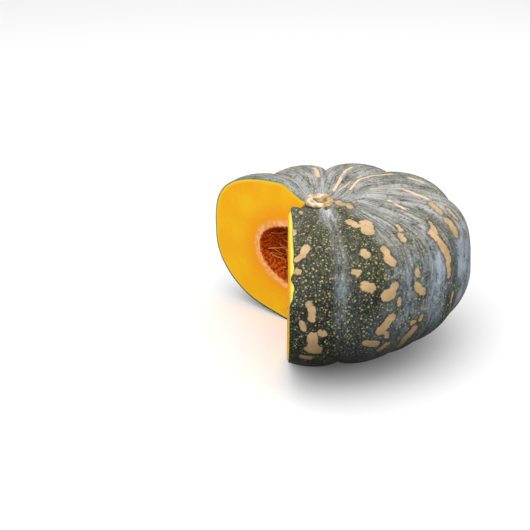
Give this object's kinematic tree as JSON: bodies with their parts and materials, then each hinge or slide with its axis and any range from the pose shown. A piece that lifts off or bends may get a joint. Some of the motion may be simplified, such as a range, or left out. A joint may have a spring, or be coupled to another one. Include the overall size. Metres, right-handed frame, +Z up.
{
  "type": "pumpkin",
  "caption": "Ribbed dark green pumpkin with a wedge cut out, showing its orange flesh, seed cavity, stringy pulp and seeds, with a corky stub of stem.",
  "frame": {"origin": "on the surface that the pumpkin stands on, at the middle of its outline", "axes": "+Z up, out of the stem end; -Y towards the viewer, with the cut opening to the front left; +X to the viewer's right"},
  "size_m": [0.1975, 0.22, 0.1188],
  "materials": {
    "rind": "satin",
    "flesh": "satin",
    "pulp": "moist",
    "seed": "satin",
    "stem": "matt"
  },
  "bodies": {
    "root": {"pumpkin_body": "rind", "seed_pulp": "pulp", "stem_stub": "stem"}
  },
  "joints": []
}
